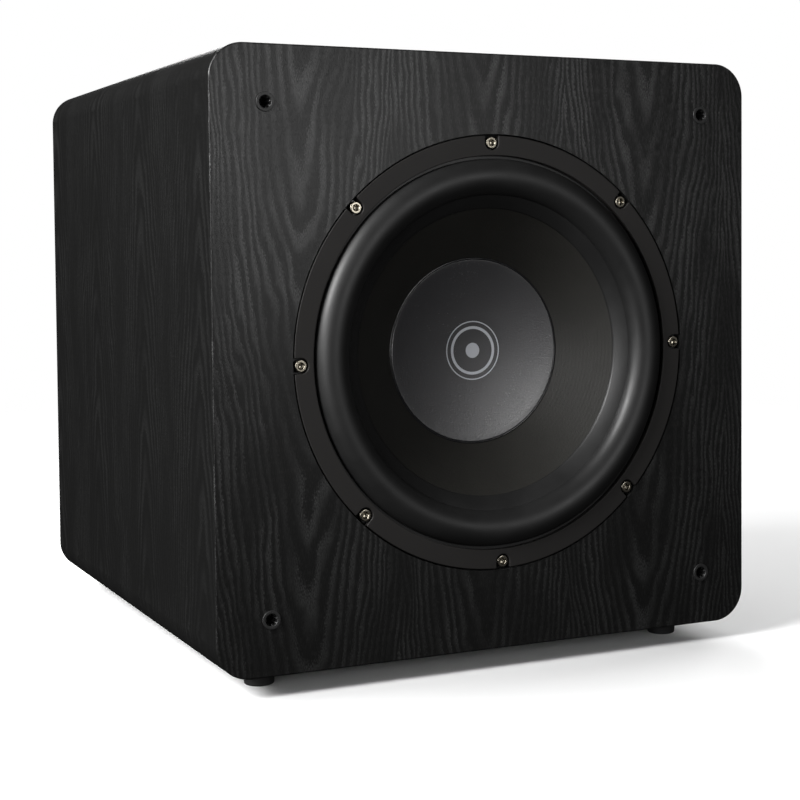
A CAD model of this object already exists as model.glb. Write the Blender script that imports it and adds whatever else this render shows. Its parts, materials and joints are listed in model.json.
"""A powered subwoofer's looks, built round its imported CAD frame. Blender 4.5, metres, +Z up, front at -Y."""

import json
import math

import bmesh
import bpy
from mathutils import Matrix, Vector


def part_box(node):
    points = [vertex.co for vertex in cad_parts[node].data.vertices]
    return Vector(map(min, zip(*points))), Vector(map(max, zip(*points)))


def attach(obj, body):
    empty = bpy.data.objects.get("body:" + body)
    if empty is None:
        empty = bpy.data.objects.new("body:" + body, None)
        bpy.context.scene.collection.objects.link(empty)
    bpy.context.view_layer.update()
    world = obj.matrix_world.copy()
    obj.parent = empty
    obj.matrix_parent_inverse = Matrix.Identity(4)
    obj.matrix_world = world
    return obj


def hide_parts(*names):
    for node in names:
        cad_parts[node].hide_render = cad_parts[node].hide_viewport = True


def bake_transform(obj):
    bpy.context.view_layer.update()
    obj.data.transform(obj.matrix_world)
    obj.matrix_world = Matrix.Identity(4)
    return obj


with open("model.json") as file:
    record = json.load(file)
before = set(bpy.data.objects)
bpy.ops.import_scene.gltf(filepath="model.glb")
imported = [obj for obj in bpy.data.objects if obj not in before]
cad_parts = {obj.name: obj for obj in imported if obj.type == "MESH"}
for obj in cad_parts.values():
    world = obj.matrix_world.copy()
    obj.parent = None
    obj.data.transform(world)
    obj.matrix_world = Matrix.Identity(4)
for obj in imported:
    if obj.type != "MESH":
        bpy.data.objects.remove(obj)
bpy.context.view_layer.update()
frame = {"nodes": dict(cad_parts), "record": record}

# ---------------------------------------------------------------------------------------------
# Places. Pieces are drawn in millimetres from one of these two points of the frame.
# ---------------------------------------------------------------------------------------------

MM = 0.001
TURN = 2 * math.pi
GAP = 0.3

film_low, film_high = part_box("vinyl_wrap")
FRONT = Vector((0, film_low.y, (film_low.z + film_high.z) / 2))  # y is depth behind the front face
BACK = Vector((0, film_high.y, FRONT.z))  # y is distance behind the rear face


def span(node, origin):
    """A node's lowest and highest corners, in millimetres from an origin."""
    low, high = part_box(node)
    return (low - origin) / MM, (high - origin) / MM


def middle(node, origin):
    low, high = span(node, origin)
    return (low + high) / 2


# ---------------------------------------------------------------------------------------------
# Outlines
# ---------------------------------------------------------------------------------------------


def rounded(corners, steps=4):
    """A closed line through corners (u, v) or (u, v, radius), with an arc at each one that has a radius."""
    points = []
    count = len(corners)
    for i, corner in enumerate(corners):
        here = Vector(corner[:2])
        radius = corner[2] if len(corner) > 2 else 0
        if radius == 0:
            points.append(tuple(here))
            continue
        before = (Vector(corners[i - 1][:2]) - here).normalized()
        after = (Vector(corners[(i + 1) % count][:2]) - here).normalized()
        half = before.angle(after) / 2
        centre = here + (before + after).normalized() * (radius / math.sin(half))
        reach = radius / math.tan(half)
        start = here + before * reach - centre
        swing = start.angle_signed(here + after * reach - centre)
        for k in range(steps + 1):
            # angle_signed is clockwise-positive, so a plain turn goes the other way.
            angle = -swing * k / steps
            turned_start = Matrix.Rotation(angle, 2) @ start
            points.append(tuple(centre + turned_start))
    return points


def rectangle(width, height, radius, at=(0, 0), steps=4):
    """A rectangle's outline with round corners, anticlockwise."""
    x, z = width / 2, height / 2
    ways = ((1, -1), (1, 1), (-1, 1), (-1, -1))
    return rounded([(at[0] + u * x, at[1] + v * z, radius) for u, v in ways], steps=steps)


def circle(radius, segments, at=(0, 0)):
    angles = [TURN * k / segments for k in range(segments)]
    return [(at[0] + radius * math.cos(a), at[1] + radius * math.sin(a)) for a in angles]


def curve_through(points, steps):
    """A smooth line through 3D points, with a number of steps between each two."""
    points = [Vector(p) for p in points]
    ends = [2 * points[0] - points[1], *points, 2 * points[-1] - points[-2]]
    line = []
    for a, b, c, d in zip(ends, ends[1:], ends[2:], ends[3:]):
        for k in range(steps):
            t = k / steps
            square = (2 * a - 5 * b + 4 * c - d) * t**2
            cube = (3 * b - a - 3 * c + d) * t**3
            line.append(((2 * b) + (c - a) * t + square + cube) / 2)
    line.append(points[-1])
    return line


def arc(centre, radii, start, end, steps):
    """Points of part of an ellipse; the angles are in degrees."""
    angles = [math.radians(start + (end - start) * k / steps) for k in range(steps + 1)]
    return [(centre[0] + radii[0] * math.cos(a), centre[1] + radii[1] * math.sin(a)) for a in angles]


def offset(line, distance):
    """A closed 2D line moved sideways by a distance, to its left where that is positive."""
    points = [Vector(p) for p in line]
    count = len(points)
    moved = []
    for i, here in enumerate(points):
        before = points[i - 1]
        after = points[(i + 1) % count]
        sides = [d.normalized() for d in (here - before, after - here) if d.length > 1e-9]
        normals = [Vector((-d.y, d.x)) for d in sides]
        normal = sum(normals, Vector((0, 0)))
        normal = normal / max(normal.length, 1e-9)
        stretch = max(normal.dot(normals[0]), 0.35)
        moved.append(tuple(here + normal * (distance / stretch)))
    return moved


def area(loop):
    return sum(a[0] * b[1] - b[0] * a[1] for a, b in zip(loop, [*loop[1:], loop[0]])) / 2


# ---------------------------------------------------------------------------------------------
# Mesh parts. Each function adds one closed body to a bmesh, in millimetres.
# ---------------------------------------------------------------------------------------------


def bridge(bm, ring_a, ring_b):
    """Faces between two rings of vertices; a ring of one vertex is a tip."""
    count = max(len(ring_a), len(ring_b))
    for i in range(count):
        j = (i + 1) % count
        corners = [side[k % len(side)] for side, k in ((ring_a, i), (ring_a, j), (ring_b, j), (ring_b, i))]
        bm.faces.new(list(dict.fromkeys(corners)))


def turned(bm, profile, segments=96, at=(0, 0), start=0.0):
    """A profile of (radius, y) turned about Y at (x, z). A radius may be a function of the angle.
    It closes on the axis where it starts and ends there, and otherwise on itself."""
    rings = []
    for radius, y in profile:
        if radius == 0:
            rings.append([bm.verts.new((at[0], y, at[1]))])
            continue
        row = []
        for k in range(segments):
            angle = start + TURN * k / segments
            r = radius(angle - start) if callable(radius) else radius
            row.append(bm.verts.new((at[0] + r * math.cos(angle), y, at[1] + r * math.sin(angle))))
        rings.append(row)
    for ring_a, ring_b in zip(rings, rings[1:]):
        bridge(bm, ring_a, ring_b)
    if len(rings[0]) > 1:
        bridge(bm, rings[-1], rings[0])
    return [v for row in rings for v in row]


def lathe(bm, corners, segments=96, at=(0, 0), steps=3):
    """A turned body with an arc at each corner that has a radius."""
    return turned(bm, rounded(corners, steps=steps), segments, at)


PLANES = {
    "xz": lambda u, v, w: (u, w, v),
    "xy": lambda u, v, w: (u, v, w),
    "yz": lambda u, v, w: (w, u, v),
}


def shell(bm, loops, rows, plane="xz"):
    """A body between outlines. loops[0] is the outer outline and the others are holes, and rows gives
    each one's rows of (inset, level), from the cap that it starts at to the cap that it ends at."""
    place = PLANES[plane]
    caps = ([], [])
    made = []
    for k, loop in enumerate(loops):
        wanted = 1 if k == 0 else -1
        loop = loop if area(loop) * wanted > 0 else loop[::-1]
        rings = []
        for inset, level in rows[k]:
            line = offset(loop, inset) if inset else loop
            rings.append([bm.verts.new(place(u, v, level)) for u, v in line])
        for ring_a, ring_b in zip(rings, rings[1:]):
            bridge(bm, ring_a, ring_b)
        for cap, ends in zip(caps, (rings[0], rings[-1])):
            pairs = zip(ends, [*ends[1:], ends[0]])
            cap.extend(bm.edges.get(pair) or bm.edges.new(pair) for pair in pairs)
        made.extend(v for row in rings for v in row)
    for cap in caps:
        bmesh.ops.triangle_fill(bm, use_beauty=True, use_dissolve=False, edges=cap)
    return made


def soft_rows(low, high, soft_low, soft_high, steps=3):
    """Rows for a straight wall between two levels, with quarter-round edges."""
    rows = []
    for level, soft, way in ((low, soft_low, 1), (high, soft_high, -1)):
        if soft:
            quarter = [TURN / 4 * k / steps for k in range(steps + 1)]
            edge = [(soft * (1 - math.sin(a)), level + way * soft * (1 - math.cos(a))) for a in quarter]
        else:
            edge = [(0, level)]
        rows.extend(edge if way > 0 else edge[::-1])
    return rows


def plate(bm, loops, low, high, soft_low=0.0, soft_high=0.0, plane="xz"):
    """A flat body with holes, between two levels."""
    return shell(bm, loops, [soft_rows(low, high, soft_low, soft_high)] * len(loops), plane)


def block(bm, x, y, z, soft=0.0, segments=2):
    """A box between limits along X, Y and Z, with its edges rounded."""
    sizes = [b - a for a, b in (x, y, z)]
    centre = [(a + b) / 2 for a, b in (x, y, z)]
    place = Matrix.Translation(centre) @ Matrix.Diagonal((*sizes, 1))
    verts = bmesh.ops.create_cube(bm, size=1, matrix=place)["verts"]
    if soft:
        edges = list({e for v in verts for e in v.link_edges})
        made = bmesh.ops.bevel(
            bm, geom=edges, offset=soft, segments=segments, profile=0.5, affect="EDGES", clamp_overlap=True
        )
        verts = made["verts"]
    return verts


def tube(bm, line, radius, sides=12):
    """A round bar along a 3D line, with flat ends."""
    points = [Vector(p) for p in line]
    ways = [(b - a).normalized() for a, b in zip(points, points[1:])]
    ways.append(ways[-1])
    side = ways[0].orthogonal().normalized()
    around = [TURN * k / sides for k in range(sides)]
    rings = []
    for i, (point, way) in enumerate(zip(points, ways)):
        mean = (way + ways[max(i - 1, 0)]).normalized()
        side = (side - mean * side.dot(mean)).normalized()
        up = mean.cross(side)
        rings.append([bm.verts.new(point + (side * math.cos(a) + up * math.sin(a)) * radius) for a in around])
    for ring_a, ring_b in zip(rings, rings[1:]):
        bridge(bm, ring_a, ring_b)
    for end in (rings[0], rings[-1]):
        bm.faces.new(end)
    return [v for row in rings for v in row]


def rod(bm, radius, low, high, at=(0, 0), segments=32):
    """A round bar along Y."""
    return turned(bm, [(0, low), (radius, low), (radius, high), (0, high)], segments, at)


def ring(bm, inner, outer, low, high, soft=0.0, segments=128, at=(0, 0)):
    """A washer about Y, with its edges rounded."""
    corners = [(inner, low, soft), (outer, low, soft), (outer, high, soft), (inner, high, soft)]
    return lathe(bm, corners, segments, at)


def drawn(draw, *values, **settings):
    """A new bmesh with one body in it."""
    bm = bmesh.new()
    draw(bm, *values, **settings)
    return bm


def carve(bm, cutter):
    """A new bmesh: the first one with the second one cut away."""
    objects = []
    for source in (bm, cutter):
        bmesh.ops.recalc_face_normals(source, faces=source.faces)
        mesh = bpy.data.meshes.new("carve")
        source.to_mesh(mesh)
        source.free()
        objects.append(bpy.data.objects.new("carve", mesh))
        bpy.context.scene.collection.objects.link(objects[-1])
    cut = objects[0].modifiers.new("cut", "BOOLEAN")
    cut.operation, cut.solver, cut.object = "DIFFERENCE", "EXACT", objects[1]
    result = bmesh.new()
    result.from_object(objects[0], bpy.context.evaluated_depsgraph_get())
    for made in objects:
        bpy.data.meshes.remove(made.data)
    return result


def shift(verts, x=0.0, y=0.0, z=0.0):
    for v in verts:
        v.co += Vector((x, y, z))


def spin(verts, angle, axis="Y", about=(0, 0, 0)):
    turn = Matrix.Translation(about) @ Matrix.Rotation(angle, 4, axis) @ Matrix.Translation(-Vector(about))
    for v in verts:
        v.co = turn @ v.co


# ---------------------------------------------------------------------------------------------
# Pieces
# ---------------------------------------------------------------------------------------------


def piece(name, body, finish, bm, origin, replaces=(), sharp=32):
    """Makes a named piece of a bmesh in millimetres, riding on a body. finish is its slot and material, and
    edges sharper than sharp, in degrees, stay crisp."""
    bmesh.ops.transform(bm, matrix=Matrix.Translation(origin) @ Matrix.Scale(MM, 4), verts=bm.verts)
    bmesh.ops.recalc_face_normals(bm, faces=bm.faces)
    mesh = bpy.data.meshes.new(name)
    bm.to_mesh(mesh)
    bm.free()
    mesh.shade_smooth()
    mesh.set_sharp_from_angle(angle=math.radians(sharp))
    made = bpy.data.objects.new(name, mesh)
    bpy.context.scene.collection.objects.link(made)
    mesh.materials.append(material(finish))
    flat = made.modifiers.new("flat_faces", "WEIGHTED_NORMAL")
    flat.keep_sharp = True
    if body:
        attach(made, body)
    if replaces:
        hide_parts(*replaces)
    return made


def bending(made, weight):
    """Joins a piece to the cabinet where weight is 0 and to the moving cone where it is 1. Weight is a
    function of a point at rest."""
    made.modifiers.clear()
    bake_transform(made)
    shares = [weight((v.co - FRONT) / MM) for v in made.data.vertices]


def between(value, start, end):
    """0 before start, 1 after end and a smooth step between them."""
    t = min(max((value - start) / (end - start), 0.0), 1.0)
    return t * t * (3 - 2 * t)


# ---------------------------------------------------------------------------------------------
# Materials
# ---------------------------------------------------------------------------------------------


class Finish:
    """A material whose nodes are made by short calls."""

    def __init__(self, name, **sockets):
        self.material = bpy.data.materials.new(name)
        self.material.use_nodes = True
        self.tree = self.material.node_tree
        self.shader = self.tree.nodes["Principled BSDF"]
        for socket, value in sockets.items():
            self.set(socket, value)

    def set(self, socket, value):
        """Sets or links a socket of the shader; Coat_Weight stands for Coat Weight."""
        self.feed(self.shader.inputs[socket.replace("_", " ")], value)

    def feed(self, socket, value):
        if isinstance(value, bpy.types.NodeSocket):
            self.tree.links.new(value, socket)
        elif value is not None:
            socket.default_value = (*value, 1) if socket.type == "RGBA" and len(value) == 3 else value

    def node(self, kind, *inputs, **settings):
        made = self.tree.nodes.new("ShaderNode" + kind)
        for name, value in settings.items():
            setattr(made, name, value)
        for socket, value in zip(made.inputs, inputs):
            self.feed(socket, value)
        return made

    def math(self, operation, a, b=None, c=None):
        return self.node("Math", a, b, c, operation=operation).outputs[0]

    def plus(self, a, b):
        return self.math("ADD", a, b)

    def minus(self, a, b):
        return self.math("SUBTRACT", a, b)

    def times(self, a, b):
        return self.math("MULTIPLY", a, b)

    def scaled(self, value, factor, more):
        return self.math("MULTIPLY_ADD", value, factor, more)

    def place(self, stretch=(1, 1, 1), source=None):
        """Object coordinates, or another vector, in millimetres and divided by a stretch along each axis."""
        source = source or self.node("TexCoord").outputs["Object"]
        scale = tuple(1 / MM / s for s in stretch)
        return self.node("VectorMath", source, scale, operation="MULTIPLY").outputs[0]

    def noise(self, vector, detail=2.0, roughness=0.5, distortion=0.0):
        made = self.node("TexNoise")
        values = {"Scale": 1.0, "Detail": detail, "Roughness": roughness, "Distortion": distortion}
        for name, value in {"Vector": vector, **values}.items():
            self.feed(made.inputs[name], value)
        return made.outputs[0]

    def cloud(self, size, **settings):
        """Noise in patches of a size in millimetres, the same along every axis."""
        return self.noise(self.place((size, size, size)), **settings)

    def cells(self, vector, feature="F1"):
        made = self.node("TexVoronoi", feature=feature)
        self.feed(made.inputs["Vector"], vector)
        self.feed(made.inputs["Scale"], 1.0)
        return made.outputs["Distance"]

    def remap(self, value, low, high, to_low=0.0, to_high=1.0, kind="SMOOTHSTEP"):
        made = self.node("MapRange", value, low, high, to_low, to_high, interpolation_type=kind)
        return made.outputs[0]

    def mix(self, share, a, b):
        made = self.node("Mix", data_type="RGBA")
        for index, value in ((0, share), (6, a), (7, b)):
            self.feed(made.inputs[index], value)
        return made.outputs[2]

    def relief(self, height, depth):
        """Bumps of a depth in millimetres, from a height between 0 and 1."""
        made = self.node("Bump")
        for name, value in (("Strength", 1.0), ("Distance", depth * MM), ("Height", height)):
            self.feed(made.inputs[name], value)
        self.set("Normal", made.outputs[0])


def shade(colour, factor):
    return tuple(min(c * factor, 1.0) for c in colour)


def moulded(
    name, colour, roughness, grain=0.5, depth=0.03, blotch=14, uneven=0.25, patchy=0.25, stretch=(1, 1, 1),
    **sockets,
):
    """Plastic, rubber, paint or foam: fine relief, uneven gloss and a little change of colour."""
    f = Finish(name, **sockets)
    fine = f.noise(f.place([grain * s for s in stretch]), detail=3)
    broad = f.cloud(blotch, detail=4, roughness=0.6)
    speck = f.remap(fine, 0.35, 0.75)
    tone = f.scaled(speck, 0.35, f.times(broad, 0.65))
    f.set("Base_Color", f.mix(tone, shade(colour, 1 - uneven), shade(colour, 1 + uneven)))
    gloss = f.minus(broad, 0.5)
    f.set("Roughness", f.scaled(gloss, patchy, f.scaled(fine, 0.1, roughness - 0.05)))
    f.relief(fine, depth)
    return f


def metal(name, colour, roughness, streak=(0.15, 6, 6), depth=0.01, uneven=0.12, **sockets):
    """Bare or plated metal with fine drawn or turned marks."""
    marks = {"grain": 1, "depth": depth, "blotch": 9, "uneven": uneven, "stretch": streak}
    f = moulded(name, colour, roughness, **marks, **sockets)
    f.set("Metallic", 1.0)
    return f


def black_ash_vinyl(name):
    """Woodgrain film. The grain attribute holds each point's place across and along the grain, in metres, and
    a third value that is 0 on the front and 40 mm on the sides, where the print is fainter."""
    f = Finish(name)
    grain = f.node("Attribute", attribute_name="grain").outputs["Vector"]
    across, along, layer = f.node("SeparateXYZ", f.place(source=grain)).outputs

    def wander(width, length, size):
        """A sideways shift of up to size, on patches of a width and length."""
        drift = f.noise(f.place((width, length, 1), grain))
        return f.times(f.minus(drift, 0.5), 2 * size)

    # Rings are counted outwards from the middle of each board, where the cut runs along them.
    board = 134.0
    broad_bend = f.plus(wander(85, 240, 12), wander(24, 95, 6.5))
    fine_bend = f.plus(wander(6, 30, 2.2), wander(1.7, 7, 0.7))
    bent = f.plus(across, f.plus(broad_bend, fine_bend))
    share = f.math("FRACT", f.math("DIVIDE", f.plus(bent, 145.0 + 10.5 * board), board))
    aside = f.times(f.math("ABSOLUTE", f.minus(share, 0.5)), board)
    rings = f.times(f.math("POWER", aside, 1.55), 0.0165)
    climb = f.math("DIVIDE", f.plus(along, f.plus(wander(60, 60, 30), wander(12, 22, 9))), 48.0)
    fleck = f.noise(f.place((0.62, 1.9, 1), grain), detail=3, roughness=0.6)
    ragged = f.scaled(f.minus(fleck, 0.5), 0.7, f.minus(rings, climb))
    step = f.math("FRACT", f.plus(ragged, 60.0))
    band = f.times(f.remap(step, 0.04, 0.26), f.remap(step, 0.42, 0.78, 1.0, 0.0))
    clear = f.remap(f.noise(f.place((30, 120, 1), grain), detail=3), 0.36, 0.62, 0.18, 1.0)
    speckle = f.remap(fleck, 0.36, 0.68, 0.25, 1.0)
    pores = f.remap(f.noise(f.place((0.40, 5.0, 1), grain), detail=2), 0.50, 0.66)
    pale = f.times(f.times(band, clear), speckle)
    faint = f.remap(layer, 0.0, 40.0, 1.0, 0.55, kind="LINEAR")
    tone = f.times(f.scaled(pores, 0.17, f.times(pale, 0.83)), faint)
    f.set("Base_Color", f.mix(tone, (0.0056, 0.0056, 0.0055), (0.0200, 0.0202, 0.0200)))
    f.set("Specular_IOR_Level", f.scaled(tone, 0.75, 0.28))
    f.set("Roughness", f.scaled(tone, 0.06, f.scaled(fleck, 0.10, 0.305)))
    f.relief(f.scaled(fleck, 0.35, f.scaled(pale, 0.5, f.times(pores, -0.5))), 0.045)
    return f


def fibreboard(name):
    """Raw board, brown inside, and sprayed black where the rebate and the front can show."""
    f = Finish(name)
    fibre = f.noise(f.place((1.6, 1.6, 0.5)), detail=5, roughness=0.75)
    broad = f.cloud(25, detail=3)
    raw = f.mix(fibre, (0.20, 0.125, 0.070), (0.43, 0.30, 0.185))
    raw = f.mix(f.times(broad, 0.4), raw, (0.30, 0.20, 0.12))
    depth = f.node("SeparateXYZ", f.node("TexCoord").outputs["Object"]).outputs[1]
    edge = f.scaled(fibre, 2 * MM, FRONT.y + 10.5 * MM)
    sprayed = f.math("LESS_THAN", depth, edge)
    f.set("Base_Color", f.mix(sprayed, raw, (0.008, 0.008, 0.008)))
    f.set("Roughness", f.scaled(fibre, 0.2, 0.72))
    f.relief(fibre, 0.08)
    return f


def cone_paper(name):
    """Pressed pulp: short fibres every way and a faint ring pattern from the press."""
    f = Finish(name, Specular_IOR_Level=0.38)
    place = f.place()
    fibre = f.cloud(1.3, detail=5, roughness=0.7, distortion=1.2)
    fluff = f.cells(f.place((1.1, 1.1, 1.1)))
    x, _, z = f.node("SeparateXYZ", place).outputs
    rise = f.math("POWER", f.minus(z, FRONT.z / MM), 2.0)
    radius = f.math("SQRT", f.plus(f.times(x, x), rise))
    press = f.math("SINE", f.times(radius, TURN / 2.2))
    broad = f.cloud(26, detail=3)
    tone = f.scaled(fibre, 0.6, f.times(broad, 0.4))
    f.set("Base_Color", f.mix(tone, (0.0085, 0.0082, 0.0072), (0.0265, 0.0255, 0.0225)))
    f.set("Roughness", f.scaled(fibre, 0.16, 0.44))
    height = f.scaled(fluff, 0.4, fibre)
    f.relief(f.scaled(press, 0.08, height), 0.11)
    return f


def spider_cloth(name):
    """Open weave stiffened with resin."""
    f = Finish(name)
    x, _, z = f.node("SeparateXYZ", f.place()).outputs
    warp = f.math("SINE", f.times(x, TURN / 0.9))
    weft = f.math("SINE", f.times(z, TURN / 0.9))
    weave = f.math("MAXIMUM", warp, weft)
    stain = f.cloud(12, detail=3)
    thread = f.mix(f.remap(weave, -0.2, 0.9), (0.20, 0.13, 0.05), (0.56, 0.42, 0.20))
    f.set("Base_Color", f.mix(f.times(stain, 0.5), thread, (0.36, 0.24, 0.09)))
    f.set("Roughness", f.scaled(stain, 0.2, 0.7))
    f.relief(f.remap(weave, -1.0, 1.0, kind="LINEAR"), 0.12)
    return f


def wadding(name):
    """Loose white fibre."""
    f = Finish(name, Sheen_Weight=0.5, Subsurface_Weight=0.0)
    fluff = f.cloud(5, detail=7, roughness=0.75, distortion=1.5)
    tufts = f.cloud(28, detail=3)
    f.set("Base_Color", f.mix(fluff, (0.50, 0.49, 0.46), (0.86, 0.85, 0.82)))
    f.set("Roughness", f.scaled(fluff, 0.08, 0.9))
    f.relief(f.plus(fluff, tufts), 2.2)
    return f


def wound(name, bright, dark, pitch, axis, roughness=0.35, metallic=0.0):
    """Wire or tape wound side by side, its turns square to an axis of the frame."""
    f = Finish(name, Metallic=metallic)
    place = f.place()
    along = f.node("SeparateXYZ", place).outputs["XYZ".index(axis)]
    turns = f.math("ABSOLUTE", f.math("SINE", f.times(along, TURN / 2 / pitch)))
    mottle = f.cloud(6, detail=4)
    f.set("Base_Color", f.mix(f.scaled(turns, 0.7, f.times(mottle, 0.3)), dark, bright))
    f.set("Roughness", f.scaled(mottle, 0.2, roughness))
    f.relief(turns, pitch * 0.5)
    return f


def circuit_board(name):
    """Green solder mask over tracks, with tinned pads."""
    f = Finish(name, Coat_Weight=0.3)
    track = f.cells(f.place((7, 50, 7)), feature="DISTANCE_TO_EDGE")
    line = f.remap(track, 0.06, 0.10, 1.0, 0.0)
    pads = f.remap(f.cells(f.place((3.1, 50, 3.1))), 0.16, 0.20, 1.0, 0.0)
    mask = f.mix(line, (0.008, 0.075, 0.030), (0.020, 0.165, 0.070))
    f.set("Base_Color", f.mix(pads, mask, (0.62, 0.62, 0.60)))
    f.set("Metallic", f.times(pads, 0.9))
    f.set("Roughness", f.scaled(line, 0.1, 0.38))
    f.relief(f.math("MAXIMUM", line, pads), 0.05)
    return f


def light_lens(name):
    f = moulded(name, (0.05, 0.42, 0.16), 0.18, depth=0.01, Transmission_Weight=0.35, IOR=1.49)
    f.set("Emission_Color", (0.1, 1.0, 0.35))
    f.set("Emission_Strength", 0.6)
    return f


def look(draw, *values, **sockets):
    """A finish made by a general function and its values, still to be given its name."""
    return lambda name: draw(name, *values, **sockets)


# The values of moulded are colour, roughness, grain, depth, blotch, uneven and patchy. Those of metal are
# colour, roughness, streak, depth and uneven.
FINISHES = {
    "black_ash_vinyl": black_ash_vinyl,
    "fibreboard": fibreboard,
    "rear_board_paint": look(moulded, (0.017, 0.017, 0.017), 0.62, 0.9, 0.10, 40),
    "wadding": wadding,
    "trim_plastic": look(
        moulded, (0.0165, 0.0152, 0.0145), 0.60, 0.45, 0.022, 45, 0.22, Specular_IOR_Level=0.35
    ),
    "surround_rubber": look(moulded, (0.0125, 0.0125, 0.0125), 0.46, 0.35, 0.012, 30, 0.3),
    "cone_paper": cone_paper,
    "cap_plastic": look(
        moulded, (0.0120, 0.0114, 0.0140), 0.25, 1.1, 0.10, 60, 0.16, 0.06,
        Specular_IOR_Level=1.0, Coat_Weight=0.7, Coat_Roughness=0.29,
    ),
    "printed_grey": look(moulded, (0.58, 0.60, 0.64), 0.55, 0.25, 0.008, 9, 0.08),
    "coil_former": look(moulded, (0.42, 0.19, 0.035), 0.30, 2.0, 0.01, 20, 0.15),
    "copper_wire": look(wound, (0.78, 0.36, 0.16), (0.30, 0.11, 0.04), 0.45, "Y", 0.28, 1.0),
    "spider_cloth": spider_cloth,
    "basket_paint": look(moulded, (0.014, 0.014, 0.015), 0.42, 0.7, 0.05, 25, Coat_Weight=0.1),
    "gasket_foam": look(moulded, (0.022, 0.022, 0.022), 0.95, 0.5, 0.25, 8, 0.5),
    "zinc_plate": look(metal, (0.56, 0.57, 0.56), 0.36, (2.5, 0.3, 2.5), 0.012, 0.18),
    "ferrite": look(moulded, (0.032, 0.033, 0.037), 0.66, 0.6, 0.09, 12, 0.35),
    "boot_rubber": look(moulded, (0.016, 0.016, 0.016), 0.72, 0.6, 0.04, 20),
    "black_plastic": look(moulded, (0.016, 0.016, 0.016), 0.48, 0.5, 0.025, 12),
    "gloss_black_plastic": look(moulded, (0.012, 0.012, 0.013), 0.22, 0.7, 0.006, 9),
    "cable_jacket": look(moulded, (0.30, 0.018, 0.014), 0.42, 0.7, 0.02, 14),
    "amp_plate_paint": look(moulded, (0.016, 0.016, 0.017), 0.50, 0.55, 0.06, 30, 0.2),
    "anodised": look(metal, (0.030, 0.030, 0.032), 0.38, (0.25, 0.25, 14), 0.012, 0.2),
    "circuit_board": circuit_board,
    "winding_tape": look(wound, (0.72, 0.52, 0.13), (0.44, 0.28, 0.05), 9.0, "X", 0.42),
    "foot_rubber": look(moulded, (0.013, 0.013, 0.013), 0.70, 0.5, 0.04, 10),
    "screw_steel": look(metal, (0.36, 0.33, 0.27), 0.28, (0.5, 0.5, 0.5), 0.006, 0.15),
    "led_lens": light_lens,
    "gold_plate": look(metal, (0.93, 0.66, 0.26), 0.24, (0.6, 0.25, 0.6), 0.006, 0.1),
    "jack_collar_red": look(moulded, (0.42, 0.020, 0.016), 0.38, 0.5, 0.01, 6, 0.12),
    "jack_collar_white": look(moulded, (0.72, 0.71, 0.68), 0.40, 0.5, 0.01, 6, 0.08),
    "copper_braid": look(wound, (0.80, 0.42, 0.22), (0.28, 0.12, 0.05), 0.9, "Y", 0.4, 1.0),
    "capacitor_sleeve": look(moulded, (0.020, 0.024, 0.060), 0.30, 0.6, 0.01, 10, 0.15),
}
made_finishes = {}


def material(slot):
    if slot not in made_finishes:
        made_finishes[slot] = FINISHES[slot](slot).material
    return made_finishes[slot]


# ---------------------------------------------------------------------------------------------
# Cabinet
# ---------------------------------------------------------------------------------------------

FILM = {"thickness": 0.5, "edge": 24, "front": 1.1}
BOARD_CORNER = FILM["edge"] - FILM["thickness"] - GAP
REBATE = {"radius": 154, "depth": 9.4}
DRIVER_OPENING = 141
SOCKETS = ("lower_left", "lower_right", "upper_right", "upper_left")
SOCKET_HOLE = {"radius": 5.7, "depth": 13.3}
FEET = ("front_left", "front_right", "rear_left", "rear_right")
SCREW_CIRCLE = 148
SCREW_ANGLES = [math.radians(1.3) + TURN / 8 * k for k in range(8)]
SCREW_PLACES = [(SCREW_CIRCLE * math.cos(a), SCREW_CIRCLE * math.sin(a)) for a in SCREW_ANGLES]
PLATE_OPENING = rectangle(204, 274, 10)
PLATE_SCREWS = [(x, z) for z in (-143, -71.5, 0, 71.5, 143) for x in (-109, 109)]


def perimeter(x, z, half, radius):
    """Distance along the wrapped outline from the middle of the bottom, going up the right side."""
    flat = half - radius
    corner = radius * TURN / 4
    cx, cz = min(max(x, -flat), flat), min(max(z, -flat), flat)
    angle = math.atan2(z - cz, x - cx) if (x != cx or z != cz) else 0.0
    if abs(x) > flat and abs(z) > flat:
        side = 2 * flat + corner
        base = {(1, -1): flat, (1, 1): flat + side, (-1, 1): flat + 2 * side, (-1, -1): flat + 3 * side}
        start = {(1, -1): -TURN / 4, (1, 1): 0.0, (-1, 1): TURN / 4, (-1, -1): TURN / 2}
        key = (1 if x > 0 else -1, 1 if z > 0 else -1)
        return base[key] + radius * ((angle - start[key]) % TURN)
    if z <= -flat:
        return x if x >= 0 else 8 * flat + 4 * corner + x
    if x >= flat:
        return 2 * flat + corner + z
    if z >= flat:
        return 4 * flat + 2 * corner - x
    return 6 * flat + 3 * corner - z


def socket_places():
    """The (x, z) of each grille socket."""
    centres = [middle(f"grille_socket_{name}", FRONT) for name in SOCKETS]
    return [(centre.x, centre.z) for centre in centres]


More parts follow.
